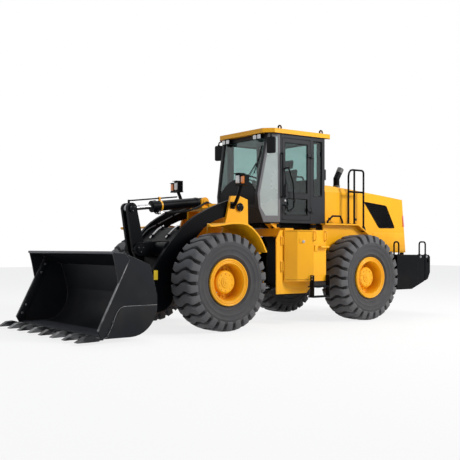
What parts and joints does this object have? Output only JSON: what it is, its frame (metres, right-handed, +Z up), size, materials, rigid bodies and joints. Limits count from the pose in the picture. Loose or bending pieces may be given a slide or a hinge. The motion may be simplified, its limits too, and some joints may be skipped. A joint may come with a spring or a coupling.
{
  "type": "wheel loader",
  "caption": "Articulated wheel loader: hinged front and rear frames, boom with a Z-bar bucket linkage, toothed bucket, cab, opening hood, counterweight and lugged tyres.",
  "frame": {"origin": "on the ground below the middle of the whole machine", "axes": "+X forward towards the bucket, +Y to the machine's left, +Z up"},
  "size_m": [8.07, 2.96, 3.5639],
  "materials": {
    "yellow_paint": "gloss paint",
    "black_paint": "semi-gloss paint",
    "grey_iron": "painted casting",
    "bare_steel": "turned steel",
    "worn_steel": "forged steel",
    "chrome": "polished",
    "rubber": "matte rubber",
    "glass": "tinted",
    "seat_cover": "woven",
    "dark_plastic": "grained"
  },
  "bodies": {
    "rear": {"rear_frame": "black_paint", "hinge_pins": "bare_steel", "rear_axle": "grey_iron", "counterweight": "black_paint", "weight_wings": "black_paint", "engine": "grey_iron", "cab_base": "yellow_paint", "cab_frame": "black_paint", "cab_roof": "yellow_paint", "cab_glass": "glass", "seat": "seat_cover", "cab_console": "dark_plastic", "roof_lamps": "black_paint", "mirrors": "black_paint", "side_box_left": "yellow_paint", "side_box_right": "yellow_paint", "steps": "black_paint", "handrails_left": "black_paint", "handrails_right": "black_paint", "rear_deck": "yellow_paint"},
    "hood": {"hood": "yellow_paint", "hood_trim": "black_paint"},
    "cab_door": {"cab_door": "black_paint", "door_glass": "glass"},
    "box_door": {"box_door": "yellow_paint"},
    "front": {"front_frame": "yellow_paint", "boom_towers": "yellow_paint", "front_axle": "grey_iron", "front_fenders": "yellow_paint", "headlamps": "black_paint"},
    "boom": {"boom": "black_paint"},
    "bucket_pins": {"bucket_pins": "bare_steel"},
    "bucket": {"bucket": "black_paint", "bucket_teeth": "worn_steel"},
    "bellcrank_pin": {"bellcrank_pin": "bare_steel"},
    "bellcrank": {"bellcrank": "black_paint"},
    "link_pin": {"link_pin": "bare_steel"},
    "bucket_link": {"bucket_link": "black_paint"},
    "tilt_barrel": {"tilt_barrel": "black_paint"},
    "tilt_rod": {"tilt_rod": "chrome"},
    "lift_barrel_left": {"lift_barrel_left": "black_paint"},
    "lift_rod_left": {"lift_rod_left": "chrome"},
    "steer_barrel_left": {"steer_barrel_left": "black_paint"},
    "steer_rod_left": {"steer_rod_left": "chrome"},
    "lift_barrel_right": {"lift_barrel_right": "black_paint"},
    "lift_rod_right": {"lift_rod_right": "chrome"},
    "steer_barrel_right": {"steer_barrel_right": "black_paint"},
    "steer_rod_right": {"steer_rod_right": "chrome"},
    "wheel_front_left": {"tyre_front_left": "rubber", "rim_front_left": "yellow_paint"},
    "wheel_front_right": {"tyre_front_right": "rubber", "rim_front_right": "yellow_paint"},
    "wheel_rear_left": {"tyre_rear_left": "rubber", "rim_rear_left": "yellow_paint"},
    "wheel_rear_right": {"tyre_rear_right": "rubber", "rim_rear_right": "yellow_paint"}
  },
  "joints": [
    {"name": "steer", "type": "hinge", "parent": "rear", "child": "front", "pos_m": [-0.325, 0, 0.98], "axis": [0, 0, -1], "range_deg": [-35, 35]},
    {"name": "boom_lift", "type": "hinge", "parent": "front", "child": "boom", "pos_m": [0.575, 0, 2.05], "axis": [0, -1, 0], "range_deg": [0, 88]},
    {"name": "bucket_level", "type": "hinge", "parent": "boom", "child": "bucket_pins", "pos_m": [2.635, 0, 0.37], "axis": [0, 1, 0], "range_deg": [-1, 70]},
    {"name": "bucket_tilt", "type": "hinge", "parent": "bucket_pins", "child": "bucket", "pos_m": [2.635, 0, 0.37], "axis": [0, 1, 0], "range_deg": [-45, 60]},
    {"name": "bellcrank_carry", "type": "hinge", "parent": "boom", "child": "bellcrank_pin", "pos_m": [2.242, 0, 1.333], "axis": [0, -1, 0], "range_deg": [-1, 18]},
    {"name": "bellcrank_turn", "type": "hinge", "parent": "bellcrank_pin", "child": "bellcrank", "pos_m": [2.242, 0, 1.333], "axis": [0, -1, 0], "range_deg": [-13, 17]},
    {"name": "link_carry", "type": "hinge", "parent": "bellcrank", "child": "link_pin", "pos_m": [2.244, 0, 0.558], "axis": [0, 1, 0], "range_deg": [-1, 60]},
    {"name": "link_turn", "type": "hinge", "parent": "link_pin", "child": "bucket_link", "pos_m": [2.244, 0, 0.558], "axis": [0, 1, 0], "range_deg": [-28, 37]},
    {"name": "tilt_swing", "type": "hinge", "parent": "front", "child": "tilt_barrel", "pos_m": [0.875, 0, 2.16], "axis": [0, -1, 0], "range_deg": [-1, 105]},
    {"name": "tilt_slide", "type": "slide", "parent": "tilt_barrel", "child": "tilt_rod", "axis": [0.9946, 0, -0.1035], "range_m": [-0.2, 0.15]},
    {"name": "lift_swing_left", "type": "hinge", "parent": "front", "child": "lift_barrel_left", "pos_m": [-0.025, 0.43, 0.85], "axis": [0, -1, 0], "range_deg": [-1, 40]},
    {"name": "lift_slide_left", "type": "slide", "parent": "lift_barrel_left", "child": "lift_rod_left", "axis": [0.9265, 0, 0.3764], "range_m": [-0.01, 0.76]},
    {"name": "lift_swing_right", "type": "hinge", "parent": "front", "child": "lift_barrel_right", "pos_m": [-0.025, -0.43, 0.85], "axis": [0, -1, 0], "range_deg": [-1, 40]},
    {"name": "lift_slide_right", "type": "slide", "parent": "lift_barrel_right", "child": "lift_rod_right", "axis": [0.9265, 0, 0.3764], "range_m": [-0.01, 0.76]},
    {"name": "steer_swing_left", "type": "hinge", "parent": "rear", "child": "steer_barrel_left", "pos_m": [-1.025, 0.345, 0.64], "axis": [0, 0, 1], "range_deg": [-13, 13]},
    {"name": "steer_slide_left", "type": "slide", "parent": "steer_barrel_left", "child": "steer_rod_left", "axis": [0.995, 0.0995, 0], "range_m": [-0.25, 0.25]},
    {"name": "steer_swing_right", "type": "hinge", "parent": "rear", "child": "steer_barrel_right", "pos_m": [-1.025, -0.345, 0.64], "axis": [0, 0, 1], "range_deg": [-13, 13]},
    {"name": "steer_slide_right", "type": "slide", "parent": "steer_barrel_right", "child": "steer_rod_right", "axis": [0.995, -0.0995, 0], "range_m": [-0.25, 0.25]},
    {"name": "cab_door_hinge", "type": "hinge", "parent": "rear", "child": "cab_door", "pos_m": [-1.044, 0.782, 2.6], "axis": [0, 0, 1], "range_deg": [0, 100]},
    {"name": "box_door_hinge", "type": "hinge", "parent": "rear", "child": "box_door", "pos_m": [-0.207, 0.995, 1.217], "axis": [0, 0, -1], "range_deg": [0, 85]},
    {"name": "hood_hinge", "type": "hinge", "parent": "rear", "child": "hood", "pos_m": [-3.72, 0, 1.3], "axis": [0, -1, 0], "range_deg": [0, 60]},
    {"name": "wheel_spin_front_left", "type": "hinge", "parent": "front", "child": "wheel_front_left", "pos_m": [1.325, 1.12, 0.8], "axis": [0, 1, 0], "continuous": true},
    {"name": "wheel_spin_front_right", "type": "hinge", "parent": "front", "child": "wheel_front_right", "pos_m": [1.325, -1.12, 0.8], "axis": [0, 1, 0], "continuous": true},
    {"name": "wheel_spin_rear_left", "type": "hinge", "parent": "rear", "child": "wheel_rear_left", "pos_m": [-1.975, 1.12, 0.8], "axis": [0, 1, 0], "continuous": true},
    {"name": "wheel_spin_rear_right", "type": "hinge", "parent": "rear", "child": "wheel_rear_right", "pos_m": [-1.975, -1.12, 0.8], "axis": [0, 1, 0], "continuous": true}
  ],
  "couplings": [
    {"joint": "bucket_level", "follows": "boom_lift", "ratio": 0.78},
    {"joint": "bellcrank_carry", "follows": "boom_lift", "ratio": 0.19},
    {"joint": "bellcrank_turn", "follows": "bucket_tilt", "ratio": 0.269},
    {"joint": "link_carry", "follows": "boom_lift", "ratio": 0.638},
    {"joint": "link_turn", "follows": "bucket_tilt", "ratio": 0.604},
    {"joint": "tilt_swing", "follows": "boom_lift", "ratio": 1.1805},
    {"joint": "tilt_slide", "follows": "bucket_tilt", "m_per_rad": -0.1832},
    {"joint": "lift_swing_left", "follows": "boom_lift", "ratio": 0.4474},
    {"joint": "lift_slide_left", "follows": "boom_lift", "m_per_rad": 0.4911},
    {"joint": "lift_swing_right", "follows": "boom_lift", "ratio": 0.4474},
    {"joint": "lift_slide_right", "follows": "boom_lift", "m_per_rad": 0.4911},
    {"joint": "steer_swing_left", "follows": "steer", "ratio": -0.357},
    {"joint": "steer_slide_left", "follows": "steer", "m_per_rad": 0.404},
    {"joint": "steer_swing_right", "follows": "steer", "ratio": -0.357},
    {"joint": "steer_slide_right", "follows": "steer", "m_per_rad": -0.404}
  ]
}
